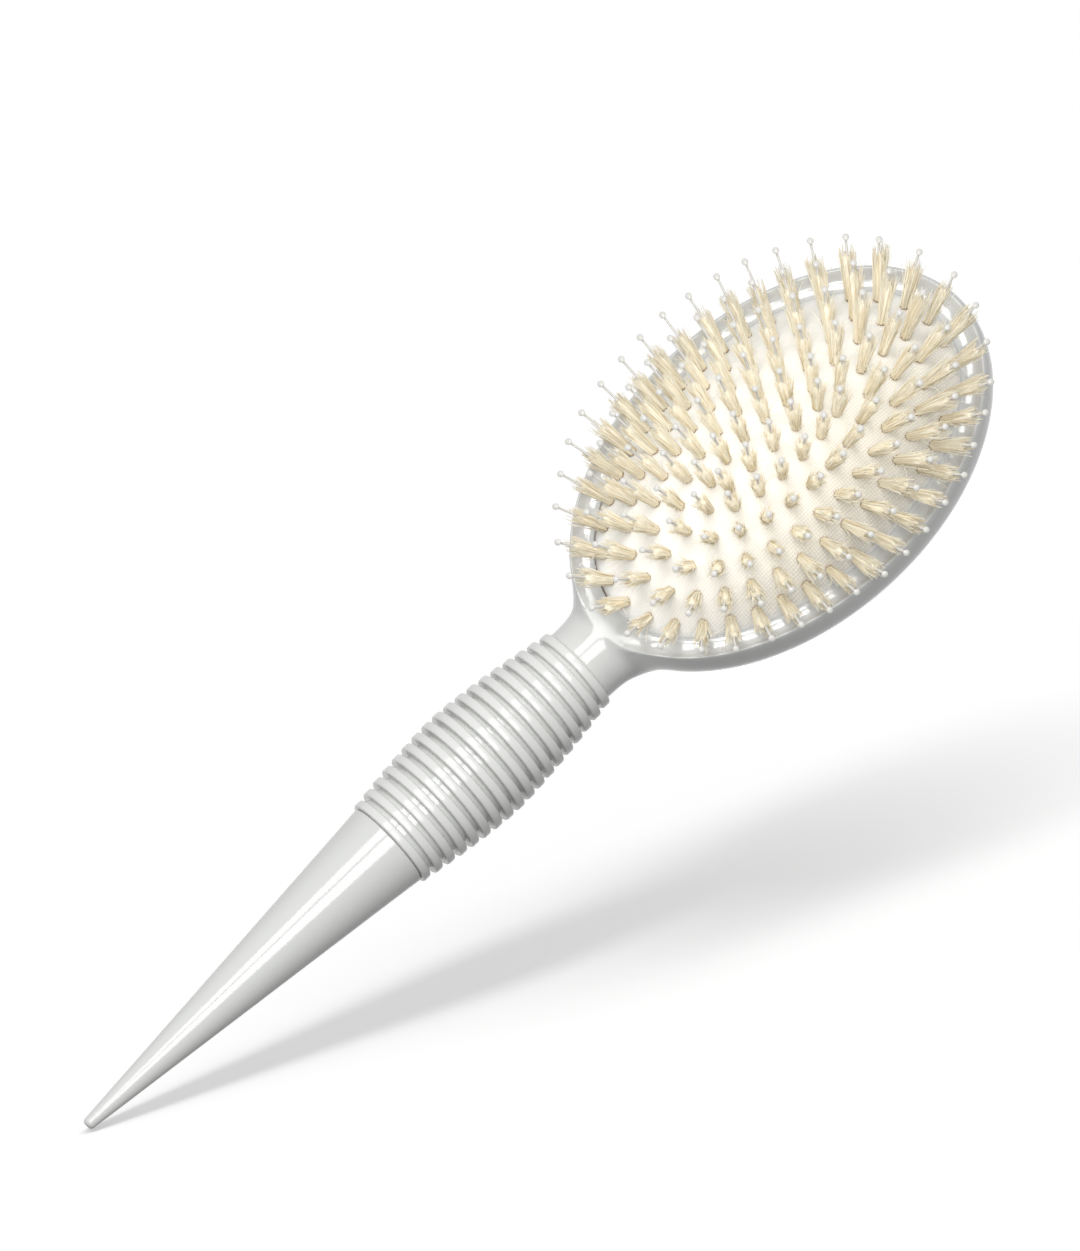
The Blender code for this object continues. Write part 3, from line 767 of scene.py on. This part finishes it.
# Bristle tufts and ball-tip pins.
tuftShape = {
    "variants": 20,
    "hairs": 66,
    "strays": 2,
    "rootRadius": 0.97 * mm,
    "tipSpread": 2.0,
    "length": 10.2 * mm,
    "ragged": 1.5 * mm,
    "sunk": 0.6 * mm,
    "hairRadius": 0.14 * mm,
    "tipRadius": 0.07 * mm,
    "hairCuts": 3,
    "clumps": 6,
    "clumpPull": 0.3,  # how far a hair's end is drawn to its clump
    "looseness": 0.22,
    "bulge": 0.12 * mm,
    "raggedRange": (-1.0, 0.35),
    "uneven": 0.2,  # share of the hairs whose length is further off than the others'
    "unevenMore": 1.6,
    "strayReach": (2.2 * mm, 4.2 * mm),
    "strayLength": (0.55, 0.9),
    "strayBulge": 3,
    "strayTone": 0.3,  # strays stay paler than the other hairs
    "curl": 1.25,  # power of the way along a hair that its sideways path follows
    "strayCurl": 2.4,
    "bundleSides": 14,
    "bundleRows": (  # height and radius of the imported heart, as shares of the tuft's
        (-0.05, 0.86), (0.0, 0.86), (0.35, 0.96), (0.62, 1.08), (0.76, 1.0), (0.85, 0.65), (0.9, 0.25),
    ),
    "sizes": (0.94, 1.04),
    "longer": 0.36,  # how much longer the tufts are on the far right side of the pad
    "longerOuter": 0.55,  # the outermost oval takes this share of it
    "longerTowards": (0.72, -0.69),
    "longerReach": 14 * mm,
    "lift": 0.5,  # how far the hairs' shading leans towards the tuft's own direction
    "seed": 7,
}
pinShape = {
    "length": 15.1 * mm,
    "stem": 0.25 * mm,
    "ball": 0.70 * mm,
    "sunk": 0.5 * mm,
    "neckLength": 3.0 * mm,  # the stem thins a little over this length below the ball's middle
    "ballDegrees": (-50, -22, 8, 38, 66),
    "ballFrom": 0.9,  # radii below the ball's middle, where its colour starts
    "steps": 10,
    "weld": 0.002 * mm,
    "tilt": 1.6,  # degrees that a pin may stand off its tuft's own direction
    "lift": 0.4,
}


def makeHairMesh():
    # one straight tapered hair of unit length, from its root up
    bm = bmesh.new()
    bmesh.ops.create_cone(
        bm, cap_ends=True, segments=3, radius1=tuftShape["hairRadius"], radius2=tuftShape["tipRadius"],
        depth=1.0, matrix=Matrix.Translation((0.0, 0.0, 0.5)),
    )
    upright = [edge for edge in bm.edges if abs(edge.verts[0].co.z - edge.verts[1].co.z) > 0.5]
    bmesh.ops.subdivide_edges(bm, edges=upright, cuts=tuftShape["hairCuts"])
    along = bm.verts.layers.float.new("along")
    bm.verts.layers.float.new("shade")
    for vert in bm.verts:
        vert[along] = vert.co.z
    mesh = bpy.data.meshes.new("hair")
    bm.to_mesh(mesh)
    bm.free()
    return mesh


def addCopy(bm, mesh):
    # a copy of a mesh in the bmesh; gives back the new points
    before = len(bm.verts)
    bm.from_mesh(mesh)
    return bm.verts[before:]


def addBundle(bm, rng):
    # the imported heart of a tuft, with a ragged top below the hairs' ends
    sides = tuftShape["bundleSides"]
    along = bm.verts.layers.float["along"]
    shade = bm.verts.layers.float["shade"]
    made = bmesh.ops.create_circle(bm, cap_ends=False, radius=1.0, segments=sides)
    rim = made["verts"]
    edges = edgesOf(rim)
    rows = tuftShape["bundleRows"]
    for row, (height, radius) in enumerate(rows):
        for vert in rim:
            scale = radius * rng.uniform(0.93, 1.04) * tuftShape["rootRadius"]
            flat = Vector((vert.co.x, vert.co.y, 0.0)).normalized() * scale
            lift = rng.uniform(-0.06, 0.08) if row > 2 else 0.0
            vert.co = (flat.x, flat.y, (height + lift) * tuftShape["length"])
            vert[along] = height + 0.05
            vert[shade] = rng.uniform(0.0, 0.7)
        if row + 1 < len(rows):
            grown = bmesh.ops.extrude_edge_only(bm, edges=edges)["geom"]
            rim = [item for item in grown if isinstance(item, bmesh.types.BMVert)]
            edges = [item for item in grown if isinstance(item, bmesh.types.BMEdge) and item.is_boundary]
    bmesh.ops.holes_fill(bm, edges=edges, sides=0)


def makeTuftMesh(hair, rng):
    # hairs packed in a round bundle, gathered in clumps that fan out towards ragged ends
    shape = tuftShape
    clumps = []
    for i in range(shape["clumps"]):
        turn = 2 * math.pi * (i + rng.uniform(-0.3, 0.3)) / shape["clumps"]
        clumps.append(Vector((math.cos(turn), math.sin(turn), 0.0)) * rng.uniform(0.55, 1.0))
    bm = bmesh.new()
    shade = None
    for i in range(shape["hairs"] + shape["strays"]):
        stray = i >= shape["hairs"]
        turn = rng.uniform(0, 2 * math.pi)
        out = math.sqrt(rng.uniform(0.04, 1))
        root = Vector((math.cos(turn), math.sin(turn), 0.0)) * out * shape["rootRadius"]
        nearest = min(clumps, key=lambda clump: (clump - root / shape["rootRadius"]).length)
        loose = Vector((rng.uniform(-1, 1), rng.uniform(-1, 1), 0.0)) * shape["looseness"]
        end = root / shape["rootRadius"] * (1 - shape["clumpPull"]) + nearest * shape["clumpPull"] + loose
        end *= shape["rootRadius"] * shape["tipSpread"]
        cut = rng.uniform(*shape["raggedRange"]) * shape["ragged"]
        if rng.random() < shape["uneven"]:
            cut *= shape["unevenMore"]
        length = shape["length"] + cut
        bulge = Vector((rng.uniform(-1, 1), rng.uniform(-1, 1), 0.0)) * shape["bulge"]
        if stray:
            end = Vector((math.cos(turn), math.sin(turn), 0.0)) * rng.uniform(*shape["strayReach"])
            length *= rng.uniform(*shape["strayLength"])
            bulge *= shape["strayBulge"]
        tone = rng.random() * (shape["strayTone"] if stray else 1.0)
        verts = addCopy(bm, hair)
        if shade is None:
            shade = bm.verts.layers.float["shade"]
        for vert in verts:
            t = vert.co.z
            bend = t ** (shape["strayCurl"] if stray else shape["curl"])
            side = root.lerp(end, bend) + bulge * math.sin(math.pi * t)
            vert.co = Vector((vert.co.x, vert.co.y, 0.0)) + side
            vert.co.z = t * (length + shape["sunk"]) - shape["sunk"]
            vert[shade] = tone
    addBundle(bm, rng)
    mesh = bpy.data.meshes.new("tuft")
    bm.to_mesh(mesh)
    bm.free()
    return mesh


def makePinMesh():
    # a slim stem that swells into a ball, spun about its own axis
    bm = bmesh.new()
    ball = pinShape["ball"]
    stem = pinShape["stem"]
    top = pinShape["length"]
    points = [
        (stem, -pinShape["sunk"]),
        (stem, top - pinShape["neckLength"]),
        (stem * 0.95, top - ball * 1.25),
        (stem * 1.15, top - ball),
    ]
    for degrees in pinShape["ballDegrees"]:
        angle = math.radians(degrees)
        points.append((ball * math.cos(angle), top + ball * math.sin(angle)))
    points.append((0.0, top + ball))
    verts = [bm.verts.new((radius, 0.0, height)) for radius, height in points]
    for first, second in zip(verts, verts[1:]):
        bm.edges.new((first, second))
    bmesh.ops.spin(
        bm, geom=bm.verts[:] + bm.edges[:], cent=(0.0, 0.0, 0.0), axis=(0.0, 0.0, 1.0),
        dvec=(0.0, 0.0, 0.0), angle=2 * math.pi, steps=pinShape["steps"], use_merge=True,
    )
    bmesh.ops.remove_doubles(bm, verts=bm.verts[:], dist=pinShape["weld"])
    bmesh.ops.holes_fill(bm, edges=bm.edges[:], sides=0)
    bmesh.ops.recalc_face_normals(bm, faces=bm.faces[:])
    onBall = bm.verts.layers.float.new("ball")
    for vert in bm.verts:
        vert[onBall] = 1.0 if vert.co.z > top - ball * pinShape["ballFrom"] else 0.0
    mesh = bpy.data.meshes.new("pin")
    bm.to_mesh(mesh)
    bm.free()
    return mesh


def liftNormals(piece, leans, share):
    # shades thin upright hairs partly as the tuft's top is, because light passes through and between them
    mesh = piece.data
    normals = [vert.normal.lerp(lean, share).normalized() for vert, lean in zip(mesh.vertices, leans)]
    mesh.normals_split_custom_set_from_vertices(normals)


def buildTufts():
    rng = random.Random(tuftShape["seed"])
    hair = makeHairMesh()
    tufts = [makeTuftMesh(hair, rng) for _ in range(tuftShape["variants"])]
    pin = makePinMesh()
    towardsX, towardsY = tuftShape["longerTowards"]
    for k in range(tuftLayout["ovals"] + 1):
        more = tuftShape["longer"] * (tuftShape["longerOuter"] if k == tuftLayout["ovals"] else 1.0)
        hairs = bmesh.new()
        pins = bmesh.new()
        hairLeans = []
        pinLeans = []
        for root, lean in tuftPlaces(k):
            stand = Vector((0.0, 0.0, 1.0)).rotation_difference(lean).to_matrix().to_4x4()
            place = Matrix.Translation(root) @ stand
            spin = Matrix.Rotation(rng.uniform(0, 2 * math.pi), 4, "Z")
            size = rng.uniform(*tuftShape["sizes"])
            away = (root.x - layout["headX"]) * towardsX + root.y * towardsY
            longer = size * (1 + more * clamp(away / tuftShape["longerReach"]))
            grow = Matrix.Diagonal((size, size, longer, 1.0))
            verts = addCopy(hairs, rng.choice(tufts))
            bmesh.ops.transform(hairs, matrix=place @ spin @ grow, verts=verts)
            hairLeans += [lean] * len(verts)
            tilt = Matrix.Rotation(math.radians(rng.uniform(-1, 1) * pinShape["tilt"]), 4, "X")
            tilt = tilt @ Matrix.Rotation(math.radians(rng.uniform(-1, 1) * pinShape["tilt"]), 4, "Y")
            verts = addCopy(pins, pin)
            bmesh.ops.transform(pins, matrix=place @ tilt, verts=verts)
            pinLeans += [lean] * len(verts)
        body = f"tuft_oval_{k + 1}"
        replaced = [f"bristle_oval_{k + 1}"]
        tuftPiece = newPiece(f"bristleTufts_{k + 1}", hairs, body, bristleHair, replaced)
        pinPiece = newPiece(f"ballPins_{k + 1}", pins, body, pinNylon)
        liftNormals(tuftPiece, hairLeans, tuftShape["lift"])
        liftNormals(pinPiece, pinLeans, pinShape["lift"])
    for mesh in [hair, pin, *tufts]:
        bpy.data.meshes.remove(mesh)


buildTufts()
print("tufts and pins built")


# Grip: a barrel core with eighteen rings, and the tail cone.
gripShape = {
    "ringCount": 18,
    "edge": 0.42 * mm,
    "steps": 96,
    "coreHead": 8.0 * mm,
    "coreWidest": 10.6 * mm,
    "coreTail": 8.9 * mm,
    "ringInset": 0.06 * mm,
    "widestRing": 9.3,
    "curve": 1.5,
    "bore": 5.3 * mm,
    "ringSeat": 0.4 * mm,  # how far each ring sits in the core
    "edgeSegments": 4,
    "coreStations": 40,
    "sharp": 45,  # degrees between faces, above which an edge is shaded sharp
}
tailShape = {
    "seat": 0.35 * mm,  # how far the cone runs on to meet the last ring
    "base": 9.5 * mm,
    "tip": 1.3 * mm,
    "tipRound": 0.9 * mm,
    "chamfer": 0.3 * mm,
    "socket": 22.3 * mm,
    "taperSteps": 12,
    "steps": 96,
    "sharp": 50,
}


def coreRadius(place):
    # radius of the core at a ring's number, counted from 0 at the head
    shape = gripShape
    last = shape["ringCount"] - 1
    place = min(max(place, 0.0), last)
    widest = shape["widestRing"]
    if place < widest:
        return between(shape["coreWidest"], shape["coreHead"], (1 - place / widest) ** shape["curve"])
    share = (place - widest) / (last - widest)
    return between(shape["coreWidest"], shape["coreTail"], min(1.0, share) ** shape["curve"])


def buildGrip():
    shape = gripShape
    low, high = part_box("grip_core")
    rings = [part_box(f"grip_ring_{n + 1:02d}") for n in range(shape["ringCount"])]
    firstX = (rings[0][0].x + rings[0][1].x) / 2
    pitch = (firstX - (rings[-1][0].x + rings[-1][1].x) / 2) / (shape["ringCount"] - 1)
    stations = shape["coreStations"]
    profile = [(low.x, shape["bore"])]
    for i in range(stations + 1):
        x = between(low.x, high.x, i / stations)
        profile.append((x, coreRadius((firstX - x) / pitch)))
    profile.append((high.x, shape["bore"]))
    bm = bmesh.new()
    drawProfile(bm, profile)
    spinPiece(bm, shape["steps"])
    core = newPiece("gripCore", bm, "handle", glossPlastic, ["grip_core"])
    core.data.set_sharp_from_angle(angle=math.radians(shape["sharp"]))
    for n, (ringLow, ringHigh) in enumerate(rings):
        outer = (ringHigh.z - ringLow.z) / 2
        bore = coreRadius(n) - shape["ringSeat"]
        bm = bmesh.new()
        left = ringLow.x + shape["ringInset"]
        right = ringHigh.x - shape["ringInset"]
        verts = drawProfile(bm, [(left, bore), (left, outer), (right, outer), (right, bore)])
        roundCorners(bm, verts[1:3], shape["edge"], shape["edgeSegments"])
        spinPiece(bm, shape["steps"])
        name = f"{n + 1:02d}"
        ring = newPiece(f"gripRing_{name}", bm, "handle", satinPlastic, [f"grip_ring_{name}"])
        ring.data.set_sharp_from_angle(angle=math.radians(shape["sharp"]))


def buildTail():
    shape = tailShape
    low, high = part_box("tail_cone")
    high.x += shape["seat"]
    taperEnd = low.x + shape["tipRound"]
    flat = shape["tip"] - shape["tipRound"]
    profile = [
        (high.x - shape["socket"], 0.0),
        (high.x - shape["socket"], gripShape["bore"]),
        (high.x, gripShape["bore"]),
        (high.x, shape["base"] - shape["chamfer"]),
        (high.x - shape["chamfer"], shape["base"]),
    ]
    for i in range(1, shape["taperSteps"] + 1):
        share = i / shape["taperSteps"]
        profile.append((between(high.x, taperEnd, share), between(shape["base"], shape["tip"], share)))
    for degrees in (18, 36, 54, 72, 90):
        angle = math.radians(degrees)
        x = taperEnd - shape["tipRound"] * math.sin(angle)
        profile.append((x, flat + shape["tipRound"] * math.cos(angle)))
    profile.append((low.x, 0.0))
    bm = bmesh.new()
    drawProfile(bm, profile, closed=False)
    spinPiece(bm, shape["steps"])
    tail = newPiece("tailCone", bm, "handle", glossPlastic, ["tail_cone"])
    tail.data.set_sharp_from_angle(angle=math.radians(shape["sharp"]))


buildGrip()
buildTail()
print("grip and tail built")


# Floor, lights and world.
stageSettings = {
    "floorNormal": (0.410, 0.658, 0.631),  # the floor falls away from the tail's tip towards the head
    "floorSize": (0.90, 0.90),
    "floorShift": (0.12, 0.0),
    "floorColour": (0.90, 0.90, 0.90),
    "floorBounce": (0.18, 0.18, 0.18),  # the floor's colour for the light that it throws back on the brush
    "floorGlow": 0.38,
    "ambient": 0.39,
    "aim": (0.03, 0.0, 0.01),  # where the lamps point
}
softboxes = {  # floor says whether a lamp lights the floor alone, or all but the floor
    "key": {
        "direction": (0.05, 0.280, 0.959), "distance": 2.2, "size": (1.2, 0.75),
        "power": 19.0, "floor": False,
    },
    "front": {
        "direction": (-0.08, -0.21, 0.974), "distance": 1.5, "size": (0.7, 0.7),
        "power": 11.6, "floor": False,
    },
    "floorLamp": {
        "direction": (0.5625, 0.5199, 0.6426), "distance": 3.0, "size": (4.0, 0.65),
        "power": 39.0, "floor": True,
    },
}


def seenDirectly(tree):
    # 1 for the rays that show a thing itself, in its own place or in gloss or glass
    path = addNode(tree, "ShaderNodeLightPath")
    seen = addMath(tree, "ADD", path.outputs["Is Camera Ray"], path.outputs["Is Glossy Ray"])
    return addMath(tree, "ADD", seen, path.outputs["Is Transmission Ray"], clamp=True)


def addSoftbox(name, settings, floor):
    # key and front light the brush, and floorLamp only the floor, where it draws the soft shadow
    light = bpy.data.lights.new(name, "AREA")
    light.shape = "RECTANGLE"
    light.size, light.size_y = settings["size"]
    light.energy = settings["power"]
    box = bpy.data.objects.new(name, light)
    direction = Vector(settings["direction"]).normalized()
    box.location = Vector(stageSettings["aim"]) + direction * settings["distance"]
    along = Vector((1.0, 0.0, 0.0))
    along = (along - direction * along.dot(direction)).normalized()
    turn = Matrix((along, direction.cross(along), direction)).transposed()
    box.rotation_mode = "QUATERNION"
    box.rotation_quaternion = turn.to_quaternion()
    bpy.context.scene.collection.objects.link(box)
    lit = bpy.data.collections.new(name + "Lights")
    lit.objects.link(floor)
    box.light_linking.receiver_collection = lit
    if not settings["floor"]:
        lit.collection_objects[0].light_linking.link_state = "EXCLUDE"


def setUpStage():
    settings = stageSettings
    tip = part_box("tail_cone")[0]
    bm = bmesh.new()
    bmesh.ops.create_grid(bm, x_segments=1, y_segments=1, size=0.5)
    width, depth = settings["floorSize"]
    bmesh.ops.scale(bm, vec=(width, depth, 1.0), verts=bm.verts[:])
    bmesh.ops.translate(bm, vec=(*settings["floorShift"], 0.0), verts=bm.verts[:])
    normal = Vector(settings["floorNormal"]).normalized()
    along = Vector((1.0, 0.0, 0.0))
    along = (along - normal * along.dot(normal)).normalized()
    turn = Matrix((along, normal.cross(along), normal)).transposed().to_4x4()
    rest = Vector((tip.x, 0.0, layout["axisHeight"])) - normal * tailShape["tip"]
    bmesh.ops.transform(bm, matrix=Matrix.Translation(rest) @ turn, verts=bm.verts[:])
    mesh = bpy.data.meshes.new("studioFloor")
    bm.to_mesh(mesh)
    bm.free()
    floor = bpy.data.objects.new("studioFloor", mesh)
    bpy.context.scene.collection.objects.link(floor)
    material, tree, shader = newMaterial("palePaper", {
        "Roughness": 1.0,
        "Specular IOR Level": 0.0,
        "Emission Color": (1.0, 1.0, 1.0, 1.0),
    })
    seen = seenDirectly(tree)
    colour = mixColours(tree, seen, settings["floorBounce"], settings["floorColour"])
    tree.links.new(colour, shader.inputs["Base Color"])
    glow = addMath(tree, "MULTIPLY", seen, settings["floorGlow"])
    tree.links.new(glow, shader.inputs["Emission Strength"])
    # the floor is one-sided, so that a camera behind it still sees the brush
    behind = addNode(tree, "ShaderNodeNewGeometry").outputs["Backfacing"]
    clear = addNode(tree, "ShaderNodeBsdfTransparent").outputs["BSDF"]
    oneSided = addNode(tree, "ShaderNodeMixShader", {0: behind, 1: shader.outputs["BSDF"], 2: clear})
    output = tree.nodes["Material Output"]
    tree.links.new(oneSided.outputs["Shader"], output.inputs["Surface"])
    mesh.materials.append(material)

    world = bpy.data.worlds.new("studioWorld")
    world.use_nodes = True
    tree = world.node_tree
    background = tree.nodes["Background"]
    background.inputs["Color"].default_value = (1.0, 1.0, 1.0, 1.0)
    strength = remap(tree, seenDirectly(tree), 0.0, 1.0, settings["ambient"], 1.0)
    tree.links.new(strength, background.inputs["Strength"])
    bpy.context.scene.world = world

    for name, softbox in softboxes.items():
        addSoftbox(name, softbox, floor)
    bpy.context.scene.view_settings.view_transform = "Standard"


setUpStage()
print("stage set")
